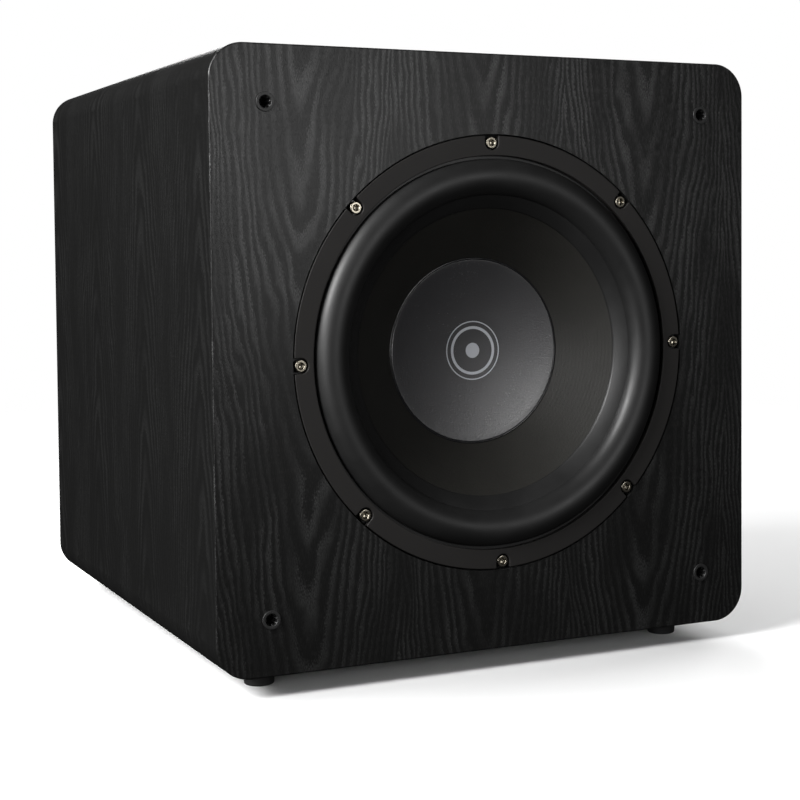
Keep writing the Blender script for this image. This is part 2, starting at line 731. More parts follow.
def woodgrain_film():
    """One sheet round the four sides, and one on the front with its edges turned over."""
    _, high = span("vinyl_wrap", FRONT)
    half, depth = high.x, high.y
    thickness, edge, front = FILM["thickness"], FILM["edge"], FILM["front"]
    outline = rectangle(2 * half, 2 * half, edge, steps=20)
    outer = soft_rows(0, depth, front, 0, steps=5)
    lengths = [front + (depth - front) * share for share in (0.25, 0.5, 0.75)]
    outer[-1:] = [(0, y) for y in (*lengths, depth)]
    inner = [(inset + thickness, max(y, thickness)) for inset, y in reversed(outer) if y > 2 * thickness]
    holes = [circle(REBATE["radius"], 192)]
    holes += [circle(SOCKET_HOLE["radius"], 32, place) for place in socket_places()]
    rows = [[*outer, *inner, (front + thickness, thickness)]] + [[(0, 0), (0, thickness)]] * len(holes)
    bm = drawn(shell, [outline, *holes], rows)
    grain = bm.loops.layers.float_vector.new("grain")
    for face in bm.faces:
        on_front = face.calc_center_median().y < front + thickness
        for loop in face.loops:
            x, y, z = loop.vert.co
            place = (x, z, 0) if on_front else (y + 900, perimeter(x, z, half, edge), 40)
            loop[grain] = Vector(place) * MM
    piece("woodgrain_film", "cabinet", "black_ash_vinyl", bm, FRONT, ["vinyl_wrap"])


def toothed(radius, count, tooth, width):
    """A bore's radius by angle, with ribs that stand in from it."""
    def at(angle):
        nearest = abs((angle * count / TURN + 0.5) % 1 - 0.5) * TURN / count * radius
        return radius - tooth * (1 - between(nearest, width / 2 - 0.15, width / 2 + 0.15))
    return at


def grille_socket(name):
    """A blind plastic bush with a lip on the front and ribs in its bore."""
    node = f"grille_socket_{name}"
    low, high = span(node, FRONT)
    at = middle(node, FRONT)
    face, back = low.y, high.y
    bore, count = 4.15, 8
    ribbed = toothed(bore, count, 1.0, 1.25)
    throat = arc((4.75, face + 0.6), (0.6, 0.6), -90, -180, 4)
    profile = [
        (0, back - 2), (ribbed, back - 2), (ribbed, face + 1.5),
        (toothed(bore, count, 0.35, 1.0), face + 1.1),
        *throat[::-1], *arc((6.1, face + 0.45), (0.4, 0.45), -90, 0, 4), (6.5, -GAP), (5.4, -GAP),
        (5.4, back - 0.5), (4.9, back), (0, back),
    ]
    body = drawn(turned, profile, 96, (at.x, at.z), start=math.radians(11))
    piece(f"pin_socket_{name}", "cabinet", "black_plastic", body, FRONT, [node])


def crossed(arm, half):
    """A cross recess's radius by angle."""
    def at(angle):
        off = abs((angle / TURN * 4 + 0.5) % 1 - 0.5) * TURN / 4
        return min(arm / math.cos(off), half / max(math.sin(off), 1e-3))
    return at


def head_screw(bm, head, height, shank, length, base):
    """A pan-head wood screw along Y. Its head's seat is at base and its tip about base + length - 5."""
    face = base - height
    cross = crossed(head * 0.56, head * 0.13)
    core = crossed(head * 0.20, head * 0.09)
    pitch = 0.7
    count = int((length - 9) / pitch)
    thread = [(shank - (0.45 if k % 2 else 0), base + 1.5 + pitch * k) for k in range(count)]
    end = thread[-1][1]
    profile = [
        (0, face + height * 0.75), (core, face + height * 0.7), (cross, face + 0.12), (head * 0.66, face),
        *arc((head * 0.66, base - 0.5), (head * 0.34, height - 0.5), -90, 0, 6), (head, base), (shank, base),
        *thread, (shank * 0.5, end + 2), (0, end + 4),
    ]
    return turned(bm, profile, 48)


def rubber_foot(name):
    """A foot standing on the floor, and the screw up through it."""
    node = f"foot_{name}"
    low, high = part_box(node)
    origin = Vector(((low.x + high.x) / 2, (low.y + high.y) / 2, 0))
    top, radius = high.z / MM, (high.x - low.x) / 2 / MM
    sole = radius - 2.4
    profile = [
        (5.2, 5), (5.2, 0.5), (5.7, 0), (sole, 0), *arc((sole, 1.2), (1.4, 1.2), -90, -10, 5),
        (radius - 0.15, top - 1.4), *arc((radius - 0.8, top - 0.8), (0.8, 0.8), 0, 90, 4), (2.6, top),
        (2.6, 5),
    ]
    foot = drawn(turned, profile, 64)
    screw = drawn(head_screw, head=4.6, height=2.3, shank=1.9, length=top + 16, base=4.8)
    for bm in (foot, screw):
        spin(bm.verts, TURN / 4, "X")
    piece(f"rubber_foot_{name}", "cabinet", "foot_rubber", foot, origin, [node])
    piece(f"foot_screw_{name}", "cabinet", "zinc_plate", screw, origin)


def front_board():
    """The front board with the driver's rebate and opening, and a hole for each socket and tee nut."""
    low, high = span("front_baffle", FRONT)
    beyond = high.y + 5
    board = drawn(plate, [rectangle(2 * high.x, 2 * high.z, BOARD_CORNER, steps=20)], low.y, high.y, 1.4, 0)
    board = carve(board, drawn(rod, REBATE["radius"], -5, REBATE["depth"], segments=192))
    cutter = drawn(rod, DRIVER_OPENING, 5, beyond, segments=192)
    for place in socket_places():
        rod(cutter, SOCKET_HOLE["radius"], -5, SOCKET_HOLE["depth"], place)
    for place in SCREW_PLACES:
        rod(cutter, 3.9, 5, beyond, place)
    piece("front_board", "cabinet", "fibreboard", carve(board, cutter), FRONT, ["front_baffle"])


def rear_board():
    """The rear board with a seat for the amplifier's plate, its opening and a hole for each screw."""
    low, high = span("rear_panel", BACK)
    plate_low, plate_high = span("amp_plate", BACK)
    width, height = plate_high.x - plate_low.x + 2 * GAP, plate_high.z - plate_low.z + 2 * GAP
    seat = span("amp_gasket", BACK)[0].y - GAP
    board = drawn(plate, [rectangle(2 * high.x, 2 * high.z, BOARD_CORNER, steps=20)], low.y, high.y, 0, 1.0)
    board = carve(board, drawn(plate, [rectangle(width, height, 6, steps=6)], seat, 5))
    cutter = drawn(plate, [PLATE_OPENING], low.y - 5, 5)
    for place in PLATE_SCREWS:
        rod(cutter, 1.9, -15, 5, place, 16)
    piece("rear_board", "cabinet", "rear_board_paint", carve(board, cutter), BACK, ["rear_panel"])


woodgrain_film()
front_board()
rear_board()
for name in SOCKETS:
    grille_socket(name)
for name in FEET:
    rubber_foot(name)

# ---------------------------------------------------------------------------------------------
# Driver. Depths are counted back from the cabinet's front face.
# ---------------------------------------------------------------------------------------------

CONE = {"outer": 111, "neck": 32.6, "slope": 0.66, "paper": 1.4, "collar": 6, "depth_at_cap": 36.6}
CAP = {"radius": 66, "rim": 35.2, "dish": 4, "thickness": 1}
ROLL = {"outer": 137, "inner": 111.5, "crest": -6, "rubber": 1.2, "flange": 143, "lip": 102.2}
TRIM = {"inner": 139, "back": 4}
NOTCH_RADIUS = 5.25
NOTCH_MOUTH = 0.5
SCREW = {"head": 4.25, "shank": 2.5, "seat": 5.5, "pitch": 0.8, "socket": 2}


def cone_depth(radius):
    return CONE["depth_at_cap"] - (radius - CAP["radius"]) * CONE["slope"]


def cap_depth(radius):
    return CAP["rim"] + CAP["dish"] * (1 - (radius / CAP["radius"]) ** 2)


def trim_ring():
    """A flat ring with a U-shaped notch round each screw, open at the rim."""
    low, high = span("driver_trim_ring", FRONT)
    outer, notch, mouth = high.x, NOTCH_RADIUS, NOTCH_MOUTH
    edge = math.sqrt(outer**2 - notch**2)
    half_turn = [math.pi * k / 20 for k in range(21)]
    bay = [(edge, -notch - mouth), (edge - mouth, -notch)]
    bay += [(SCREW_CIRCLE - notch * math.sin(a), -notch * math.cos(a)) for a in half_turn]
    bay += [(edge - mouth, notch), (edge, notch + mouth)]
    aside = math.asin((notch + mouth) / outer)
    line = []
    for angle in SCREW_ANGLES:
        line += [tuple(Matrix.Rotation(angle, 2) @ Vector(p)) for p in bay]
        rim = [angle + aside + (TURN / 8 - 2 * aside) * k / 24 for k in range(1, 24)]
        line += [(outer * math.cos(a), outer * math.sin(a)) for a in rim]
    body = drawn(plate, [line, circle(TRIM["inner"], 192)], low.y, high.y, 0.6, 0)
    piece("trim_ring", "cabinet", "trim_plastic", body, FRONT, ["driver_trim_ring"])


def half_roll():
    """The roll is half an ellipse between the flange under the trim ring and the lip on the cone."""
    rubber, inner, outer, lip, flange = (ROLL[k] for k in ("rubber", "inner", "outer", "lip", "flange"))
    centre, half = (outer + inner) / 2, (outer - inner) / 2
    top = TRIM["back"] + GAP

    def lip_depth(radius):
        return cone_depth(radius) - rubber - GAP

    rise = (top + lip_depth(inner)) / 2 - ROLL["crest"]
    steps = 36

    def arch(shrink):
        points = []
        for k in range(steps + 1):
            angle = math.pi * k / steps
            base = top + (lip_depth(inner) - top) * (1 - math.cos(angle)) / 2
            radius = centre + (half - shrink) * math.cos(angle)
            points.append((radius, base - (rise - shrink) * math.sin(angle)))
        return points

    seam, under = inner - 1.2, inner + rubber
    front = [
        (flange, top), (outer + 1.6, top), *arch(0), (seam, lip_depth(seam) - 0.15),
        (lip + 0.9, lip_depth(lip + 0.9)), (lip + 0.2, lip_depth(lip) + 0.25),
    ]
    back = [
        (lip, lip_depth(lip) + rubber), (under, lip_depth(under) + rubber), *arch(rubber)[::-1],
        (outer - rubber, top + rubber), (flange, top + rubber),
    ]
    body = drawn(turned, front + back, 192)
    made = piece("half_roll_surround", None, "surround_rubber", body, FRONT, ["surround"], sharp=50)
    bending(made, lambda p: 1 - between(math.hypot(p.x, p.z), inner, outer))


def paper_cone():
    outer, neck, paper = CONE["outer"], CONE["neck"], CONE["paper"]
    end = cone_depth(neck) + CONE["collar"]
    radii = [outer + (neck - outer) * k / 12 for k in range(13)]
    front = [(r, cone_depth(r)) for r in radii]
    back = [(neck, end), (neck + paper, end)]
    back += [(r, cone_depth(r) + paper) for r in (neck + paper, *radii[-2::-1])]
    piece("paper_cone", "cone", "cone_paper", drawn(turned, front + back, 160), FRONT, ["cone"])


def cap_and_print():
    """The cap with its round edge, the bead that glues it on, and a ring and dot printed on it."""
    edge = CAP["radius"]
    radii = [edge * k / 16 for k in range(16)] + [edge - 0.8]
    front = [(r, cap_depth(r)) for r in radii]
    rim = [(edge - 0.35, cap_depth(edge) + 0.1), (edge, cap_depth(edge) + 0.4)]
    back = [(r, cap_depth(r) + CAP["thickness"]) for r in (edge, *radii[::-1])]
    piece("dished_cap", "cone", "cap_plastic", drawn(turned, front + rim + back, 160), FRONT, ["dust_cap"])

    bead = (edge + 0.7, cone_depth(edge + 0.7) - 0.1)
    body = drawn(turned, arc(bead, (1.0, 0.8), -200, 20, 10), 160)
    piece("cap_adhesive", "cone", "gloss_black_plastic", body, FRONT)

    mark = bmesh.new()
    for inner, outer in ((0, 5.5), (15.6, 17.6), (20.6, 21.4)):
        radii = [inner + (outer - inner) * k / 4 for k in range(5)]
        front = [(r, cap_depth(r) - 0.12) for r in radii]
        turned(mark, front + [(r, cap_depth(r) - 0.01) for r in radii[::-1]], 128)
    piece("printed_ring_mark", "cone", "printed_grey", mark, FRONT, ["dust_cap_badge"])


def hexagon(apothem):
    return lambda angle: apothem / math.cos((angle + TURN / 12) % (TURN / 6) - TURN / 12)


def fluted(radius, count, depth):
    return lambda angle: radius - depth * (0.5 - 0.5 * math.cos(count * angle))


def socket_screw(index):
    """A cap screw with a hexagon socket, a knurled head and a thread."""
    node = f"driver_screw_{index + 1}"
    low, high = span(node, FRONT)
    at = middle(node, FRONT)
    top, tip = low.y, high.y
    head, shank, seat, pitch, socket = SCREW.values()
    knurl = fluted(head, 32, 0.28)
    thread = []
    for k in range(int((tip - seat - 3) / pitch)):
        y = seat + 2 + pitch * k
        thread += [(shank, y), (shank, y + 0.15), (shank - 0.38, y + 0.4), (shank - 0.38, y + 0.5)]
    profile = [
        (0, top + 3.1), (hexagon(socket - 0.15), top + 2.5), (hexagon(socket), top + 2.4),
        (hexagon(socket), top + 0.35), (2.55, top), (head - 0.75, top),
        *arc((head - 0.75, top + 0.6), (0.75, 0.6), -90, -20, 4), (knurl, top + 1.0),
        (knurl, seat - 0.4), (head - 0.1, seat - 0.1), (head - 0.2, seat), (shank, seat), *thread,
        (shank - 0.2, tip - 0.6), (shank - 0.7, tip), (0, tip),
    ]
    body = drawn(turned, profile, 96, (at.x, at.z), start=0.4 + 1.1 * index)
    piece(f"socket_head_screw_{index + 1}", "cabinet", "screw_steel", body, FRONT, [node], sharp=25)


def tee_nut(index):
    x, z = SCREW_PLACES[index]
    prong_circle = 7.6
    bm = drawn(ring, 2.7, 3.7, 15.5, 27.0, 0.2, 32, (x, z))
    ring(bm, 3.5, 8.8, 26.1, 27.4, 0.3, 48, (x, z))
    for k in range(4):
        angle = TURN / 8 + TURN / 4 * k
        u, w = x + prong_circle * math.cos(angle), z + prong_circle * math.sin(angle)
        prong = block(bm, (u - 0.5, u + 0.5), (20.5, 26.3), (w - 1.2, w + 1.2), 0.2)
        spin(prong, -angle, "Y", (u, 0, w))
    piece(f"tee_nut_{index + 1}", "cabinet", "zinc_plate", bm, FRONT)


def spider_piece():
    """Six waves of cloth between the former and a flat rim on the basket's shelf."""
    inner, outer, depth, cloth, first, last, height, waves = 32.5, 90, 85, 0.8, 38, 78, 2, 6
    line = [(inner, depth - 4), (inner + 0.6, depth - 3.4), (inner + 1.2, depth - 0.6)]
    for share in [k / 72 for k in range(73)]:
        line.append((first + (last - first) * share, depth - height * math.cos(waves * math.pi * share)))
    line += [(last + 3, depth), (outer, depth)]
    body = drawn(turned, line + [(r, y + cloth) for r, y in line[::-1]], 160)
    made = piece("corrugated_spider", None, "spider_cloth", body, FRONT, ["spider"], sharp=50)
    bending(made, lambda p: 1 - between(math.hypot(p.x, p.z), 34, 80))


def tinsel_lead(side):
    name = "left" if side < 0 else "right"
    route = [
        (6.5, 73, -110), (7, 72, -103), (9, 77, -86), (10, 77, -66), (8.5, 72, -48), (6.5, 68, -38),
        (6, 67.5, -33),
    ]
    line = curve_through([(side * x, y, z) for x, y, z in route], 10)
    made = piece(f"tinsel_lead_{name}", None, "copper_braid", drawn(tube, line, 0.9, 12), FRONT)
    bending(made, lambda p: 1 - between(-p.z, 36, 106))


def basket():
    """A pressed frame with eight windows and a hole for each screw."""
    shelf, floor_front, floor_back, steel = 86.1, 110.0, 112.0, 2.0
    rim_front, rim_back = 5.8, 7.3
    outline = [
        (152.5, rim_front, 0.5), (131, rim_front, 2.2), (129, 28, 3), (92, shelf - steel, 3),
        (92, shelf, 0.6), (80, shelf, 2), (78, floor_front, 2), (36.5, floor_front, 0.5),
        (36.5, floor_back, 0.5), (80, floor_back, 3), (82, shelf + steel, 1.4), (94, shelf + steel, 2.5),
        (131, 30, 4), (133, rim_back, 1), (152.5, rim_back, 0.5),
    ]
    window = rounded([(84, 36, 6), (142, 36, 6), (142, 78, 6), (84, 78, 6)], steps=5)
    cutter = bmesh.new()
    for k in range(8):
        spin(plate(cutter, [window], -29, 29, plane="xy"), TURN / 16 + TURN / 8 * k, "Y")
    for place in SCREW_PLACES:
        rod(cutter, 2.9, 0, 9, place)
    body = carve(drawn(lathe, outline, 160, steps=5), cutter)
    piece("pressed_basket", "cabinet", "basket_paint", body, FRONT, ["driver_basket"])


def motor():
    former = drawn(ring, 31.4, 32, 58, 133, 0.2)
    piece("former_tube", "cone", "coil_former", former, FRONT, ["voice_coil_former"])
    front, back, bottom, crest, pitch = 103.3, 131.3, 34.0, 34.2, 0.45
    turns = []
    for k in range(62):
        y = front + 0.2 + pitch * k
        turns += [(bottom, y), (crest, y + 0.22)]
    coil = drawn(turned, [(32.3, front), (bottom, front), *turns, (bottom, back), (32.3, back)], 96)
    piece("coil_winding", "cone", "copper_wire", coil, FRONT, ["voice_coil_winding"])
    for name, finish, node, values in (
        ("front_plate", "zinc_plate", "top_plate", (35.2, 70, 112.3, 122.3, 0.5)),
        ("ring_magnet", "ferrite", "ferrite_magnet", (42, 82, 122.6, 162.6, 1.2)),
    ):
        piece(name, "cabinet", finish, drawn(ring, *values), FRONT, [node])
    yoke = [(8, 112.3), (30.4, 112.3), (30.4, 162.9), (72, 162.9), (72, 172.9), (8, 172.9)]
    boot = [
        (82.7, 118, 0.8), (85, 118, 0.8), (85, 175.5, 4), (60, 175.5, 1), (60, 173.2, 0.4),
        (82.7, 173.2, 1),
    ]
    body = drawn(lathe, [(r, y, 0.7) for r, y in yoke], 128)
    piece("pole_and_back_plate", "cabinet", "zinc_plate", body, FRONT, ["t_yoke"])
    body = drawn(lathe, boot, 128, steps=5)
    piece("rubber_boot", "cabinet", "boot_rubber", body, FRONT, ["magnet_boot"])
    cutter = bmesh.new()
    for place in SCREW_PLACES:
        rod(cutter, 3.2, 0, 12, place)
    body = carve(drawn(ring, 142, 152, 7.6, 9.1, 0.3), cutter)
    piece("foam_gasket", "cabinet", "gasket_foam", body, FRONT, ["basket_gasket"])


def terminal_block():
    body = drawn(block, (-14, 14), (66, 80), (-124, -109), 1.0, 3)
    piece("terminal_moulding", "cabinet", "black_plastic", body, FRONT, ["driver_terminal_block"])
    tabs = bmesh.new()
    for x in (-6.5, 6.5):
        block(tabs, (x - 3, x + 3), (72.6, 73.4), (-130, -107.5), 0.15, 2)
        ring(tabs, 0.8, 2.0, 72.3, 73.7, 0.2, 24, (x, -128.2))
    piece("terminal_tabs", "cabinet", "gold_plate", tabs, FRONT)


def cable():
    end = span("speaker_cable", FRONT)[1].y
    points = [
        (0, 73, -132.8), (2, 80, -141), (16, 110, -146), (36, 165, -134), (54, 240, -106), (60, 310, -74),
        (60, 366, -24), (60, end - 12, -16), (60, end, -16),
    ]
    body = drawn(tube, curve_through(points, 10), 2.3, 16)
    piece("driver_cable", "cabinet", "cable_jacket", body, FRONT, ["speaker_cable"])


trim_ring()
half_roll()
paper_cone()
cap_and_print()
for index in range(len(SCREW_PLACES)):
    socket_screw(index)
    tee_nut(index)
spider_piece()
for side in (-1, 1):
    tinsel_lead(side)
basket()
motor()
terminal_block()
cable()

# ---------------------------------------------------------------------------------------------
# Amplifier. Y is counted outwards from the cabinet's rear face.
# ---------------------------------------------------------------------------------------------

CONTROL_ROW = 100
KNOBS = {"volume": 70, "crossover": 15}
PHASE = (-35, CONTROL_ROW)
LED = (-75, CONTROL_ROW)
JACKS = {75: "jack_collar_red", 50: "jack_collar_white", 25: "black_plastic"}
JACK_ROW = 58
ROCKER = (15, -108)
INLET = (62, -104)
INLET_FACE = (62, -107)
FUSE = (62, -96.2)
BOARD_FACE = -46
PRINT_MIDDLE = (0, 83)


def bar(bm, at, half, levels, soft=0.0, segments=2):
    """A block round (x, z), given half its width and height and its levels along Y."""
    (x, z), (width, height) = at, half
    return block(bm, (x - width, x + width), levels, (z - height, z + height), soft, segments)


def sealed_plate():
    holes = [circle(2.1, 24, place) for place in PLATE_SCREWS]
    holes += [circle(4.9, 32, (x, CONTROL_ROW)) for x in KNOBS.values()]
    holes += [circle(4.8, 32, (x, JACK_ROW)) for x in JACKS]
    holes += [rectangle(9.4, 3.4, 0.5, PHASE), circle(2, 24, LED), rectangle(14.4, 24.2, 0.6, ROCKER)]
    holes.append(rectangle(28.2, 32.2, 1, INLET_FACE))
    body = drawn(plate, [rectangle(230, 300, 6, steps=10), *holes], -3, 0, 0.2, 0.5)
    piece("amplifier_plate", "cabinet", "amp_plate_paint", body, BACK, ["amp_plate"])
    holes = [circle(2.1, 16, place) for place in PLATE_SCREWS]
    body = drawn(plate, [rectangle(229, 299, 6), rectangle(205, 275, 10), *holes], -4.5, -3.3)
    piece("plate_gasket", "cabinet", "gasket_foam", body, BACK, ["amp_gasket"])
    for index, (x, z) in enumerate(PLATE_SCREWS):
        bm = drawn(head_screw, head=3.6, height=2.1, shank=1.75, length=18, base=0)
        spin(bm.verts, math.pi, "Z")
        shift(bm.verts, x, 0.05, z)
        piece(f"plate_screw_{index + 1}", "cabinet", "zinc_plate", bm, BACK)


def dial_marks():
    """Raised print: ticks round the knobs, lines by the switch, rings round the jacks, a frame round all."""
    bm = bmesh.new()
    for x in KNOBS.values():
        for k in range(11):
            angle = math.radians(240 - 30 * k)
            long = 1.2 if k in (0, 5, 10) else 0
            tick = block(bm, (12.2, 14.2 + long), (0, 0.14), (-0.3, 0.3), 0.04, 1)
            spin(tick, -angle, "Y")
            shift(tick, x, 0, CONTROL_ROW)
    for x in JACKS:
        ring(bm, 8.4, 8.9, 0, 0.12, 0.03, 64, (x, JACK_ROW))
    for side in (-1, 1):
        bar(bm, (PHASE[0] + side * 7.5, CONTROL_ROW), (0.3, 2.5), (0, 0.14), 0.04, 1)
    plate(bm, [rectangle(188, 92, 3, PRINT_MIDDLE, 6), rectangle(187, 91, 2.6, PRINT_MIDDLE, 6)], 0, 0.12)
    piece("plate_print", "cabinet", "printed_grey", bm, BACK)


def fins():
    """An extruded comb: a root with thirteen rippled fins."""
    low, high = span("heat_sink", BACK)
    width, root, count, fin = high.x - low.x, 4.3, 13, 2
    pitch = (width - fin) / (count - 1)
    comb = [(-width / 2, GAP), (width / 2, GAP)]
    ripples = [(root + 1.0 + 0.55 * k, 0.22 if k % 2 else 0) for k in range(12)]
    for k in reversed(range(count)):
        left = -width / 2 + k * pitch
        right = left + fin
        if k < count - 1:
            comb += [(right + 0.7, root), (right + 0.15, root + 0.4)]
        comb += [(right - dent, y) for y, dent in ripples]
        comb += [(right - 0.05, high.y - 0.5), (right - 0.5, high.y)]
        comb += [(left + 0.5, high.y), (left + 0.05, high.y - 0.5)]
        comb += [(left + dent, y) for y, dent in reversed(ripples)]
        if k:
            comb += [(left - 0.15, root + 0.4), (left - 0.7, root)]
    body = drawn(plate, [comb], low.z, high.z, plane="xy")
    piece("finned_heat_sink", "cabinet", "anodised", body, BACK, ["heat_sink"])


def control(name):
    """A potentiometer with its nut, its splined spindle, and a ribbed knob with a pointer let into it."""
    x = KNOBS[name]
    at = (x, CONTROL_ROW)
    case = [
        (0, -17), *arc((7.7, -16.2), (0.8, 0.8), -90, 0, 3), (8.5, -3.7), (8.1, -3.3), (4.5, -3.3),
        (4.5, 3.1), (4.1, 3.5), (3.3, 3.5), (3.3, -4.3), (0, -4.3),
    ]
    bm = drawn(turned, case, 48, at)
    turned(bm, [(4.6, 0.1), (hexagon(5.6), 0.1), (hexagon(5.6), 0.6), (4.6, 0.6)], 48, at)
    piece(f"{name}_potentiometer", "cabinet", "zinc_plate", bm, BACK, [f"{name}_pot"])
    spline = fluted(3, 18, 0.4)
    spindle = [(0, -4), (3, -4), (3, 3.9), (spline, 4.3), (spline, 10.6), (2.5, 11), (0, 11)]
    piece(f"{name}_spindle", name, "zinc_plate", drawn(turned, spindle, 72, at), BACK, [f"{name}_shaft"])
    ribs = ((9.35, 0.0, 2.2), (9.3, 0.5, 2.7), (9.05, 0.5, 11.8), (8.8, 0.2, 12.6))
    knob = [
        (0, 11.3), (3.3, 11.3), (3.3, 4.2), (6, 4.2), (6, 0.8), (9.3, 0.8), (9.6, 1.1), (9.6, 1.7),
        *[(fluted(radius, 30, depth), y) for radius, depth, y in ribs],
        *arc((7.6, 13.0), (1.0, 1.0), 20, 90, 5), (6.9, 14), (6.6, 13.75), (0, 13.6),
    ]
    groove = drawn(block, (x - 0.5, x + 0.5), (13.2, 15), (CONTROL_ROW + 3, CONTROL_ROW + 12))
    body = carve(drawn(turned, knob, 120, at), groove)
    piece(f"{name}_dial", name, "black_plastic", body, BACK, [f"{name}_knob"])
    reach = (CONTROL_ROW + 3.1, CONTROL_ROW + 7.6)
    pointer = drawn(block, (x - 0.45, x + 0.45), (13.1, 13.55), reach, 0.05, 1)
    piece(f"{name}_pointer", name, "printed_grey", pointer, BACK)


def phase_switch():
    body = carve(drawn(bar, PHASE, (8, 4), (-12, -3.3), 0.5), drawn(bar, PHASE, (4.7, 2.2), (-9, 1)))
    piece("slide_switch_housing", "cabinet", "black_plastic", body, BACK, ["phase_switch_body"])
    at = middle("phase_slider", BACK).x
    bm = drawn(bar, (at, CONTROL_ROW), (2.3, 1.8), (-8.6, -4), 0.3)
    bar(bm, (at, CONTROL_ROW), (1.6, 1.3), (-4.3, 1.2), 0.25)
    for k in (-1, 0, 1):
        bar(bm, (at + k, CONTROL_ROW), (0.22, 1.2), (1.0, 1.6), 0.1, 1)
    piece("slide_button", "phase", "black_plastic", bm, BACK, ["phase_slider"])


def power_switch():
    """A rocker with a hollow face in its frame, with a line and a circle on its two halves."""
    bm = drawn(plate, [rectangle(13.8, 23.6, 0.6, ROCKER)], -14, 1.0)
    plate(bm, [rectangle(16.4, 26.8, 1.4, ROCKER, 5)], GAP, 1.6, 0, 0.5)
    body = carve(bm, drawn(plate, [rectangle(11.6, 21.4, 0.5, ROCKER)], -9, 3))
    piece("rocker_housing", "cabinet", "black_plastic", body, BACK, ["power_switch_body"])
    face = [(2.5 + 1.9 * (abs(k - 8) / 8) ** 1.6, -9.2 + 18.4 * k / 16) for k in range(17)]
    section = [(-1.5, -8.6), (-5, -3), (-5, 3), (-1.5, 8.6), *face[::-1]]
    rocker = drawn(plate, [section], -5.4, 5.4, 0.35, 0.35, plane="yz")
    marks = drawn(block, (-0.35, 0.35), (3.05, 3.42), (3.6, 7.2), 0.05, 1)
    spin(list(marks.verts), math.radians(10.5), "X", (0, 3.2, 5.4))
    circled = ring(marks, 1.5, 2.1, 3.05, 3.42, 0.05, 40, (0, -5.4))
    spin(circled, math.radians(-10.5), "X", (0, 3.2, -5.4))
    for made in (rocker, marks):
        spin(made.verts, math.radians(-9), "X")
        shift(made.verts, ROCKER[0], -1, ROCKER[1])
    piece("rocker_cap", "rocker", "gloss_black_plastic", rocker, BACK, ["power_rocker"])
    piece("rocker_marks", "rocker", "printed_grey", marks, BACK)


def line_inputs():
    body = drawn(block, (16, 84), (-14.3, -3.3), (JACK_ROW - 8, JACK_ROW + 8), 0.8)
    piece("jack_moulding", "cabinet", "black_plastic", body, BACK, ["line_input_block"])
    sleeve = [(3.3, -3.4), (4.15, -3.4), (4.15, 9, 0.35), (3.3, 9, 0.25)]
    core = [(1.6, -3.4), (3.3, -3.4), (3.3, 7.4, 0.2), (1.7, 7.4, 0.3)]
    collar = [(4.2, -2.9), (4.7, -2.9), (4.7, 0.1), (6.9, 0.1), (6.9, 1.2, 0.4), (4.2, 1.9, 0.4)]
    for x, colour in JACKS.items():
        at = (x, JACK_ROW)
        bm = drawn(lathe, sleeve, 64, at)
        ring(bm, 1.05, 1.6, -3.4, 5.6, 0.15, 32, at)
        piece(f"jack_shell_{x}", "cabinet", "gold_plate", bm, BACK)
        bm = drawn(lathe, core, 64, at)
        lathe(bm, collar, 64, at)
        piece(f"jack_insulator_{x}", "cabinet", colour, bm, BACK)


def led():
    dome = arc((0, 0.2), (1.5, 1.5), 0, 90, 8)[1:-1]
    body = drawn(turned, [(0, -5), (1.5, -5), (1.5, 0.2), *dome, (0, 1.7)], 32, LED)
    piece("status_lamp", "cabinet", "led_lens", body, BACK, ["status_led"])


def mains_parts():
    """The inlet with its three pins, and the drawer under its face with the fuse in it."""
    x, z = INLET

    def box_at(bm, xs, ys, zs, soft=0.0):
        return block(bm, (x + xs[0], x + xs[1]), ys, (z + zs[0], z + zs[1]), soft)

    bm = drawn(plate, [rectangle(27.6, 31.6, 0.8, INLET_FACE)], -24, 1)
    plate(bm, [rectangle(30, 34, 2, INLET_FACE, 5)], GAP, 2.3, 0, 0.6)
    corners = [(-12.2, -17.2, 1), (12.2, -17.2, 1), (12.2, -4.6, 0.6), (8.4, -0.8, 0.6), (-8.4, -0.8, 0.6),
               (-12.2, -4.6, 0.6)]
    socket = rounded([(x + u, z + v, radius) for u, v, radius in corners])
    body = carve(bm, drawn(plate, [socket], -15.7, 3))
    body = carve(body, drawn(box_at, (-10.3, 10.3), (-20, 3), (3.2, 10.2)))
    piece("inlet_moulding", "cabinet", "black_plastic", body, BACK, ["mains_inlet"])
    pins = (("neutral", -7, -10.6, -2.6), ("line", 7, -10.6, -2.6), ("earth", 0, -6.6, -1.2))
    for name, px, pz, tip in pins:
        pin = drawn(box_at, (px - 1, px + 1), (-24.5, tip), (pz - 2, pz + 2), 0.45)
        piece(f"inlet_pin_{name}", "cabinet", "screw_steel", pin, BACK)
    tray = drawn(box_at, (-10, 10), (-19.5, 3), (3.5, 9.9), 0.3)
    tray = carve(tray, drawn(box_at, (-3.5, 3.5), (-18, -1), (5, 12)))
    box_at(tray, (-11.2, 11.2), (2.65, 3.8), (2.6, 10.8), 0.4)
    box_at(tray, (-4, 4), (3.6, 4.3), (5.9, 7.5), 0.25)
    piece("fuse_tray", "drawer", "black_plastic", tray, BACK, ["fuse_drawer"])
    caps = drawn(lathe, [(0, -17.2), (2.4, -17.2, 0.4), (2.4, -13.2), (0, -13.2)], 32, FUSE)
    lathe(caps, [(0, -5.8), (2.4, -5.8), (2.4, -1.8, 0.4), (0, -1.8)], 32, FUSE)
    piece("fuse_caps", "drawer", "zinc_plate", caps, BACK)
    piece("fuse_body", "drawer", "printed_grey", drawn(rod, 2.15, -13.3, -5.7, FUSE), BACK)


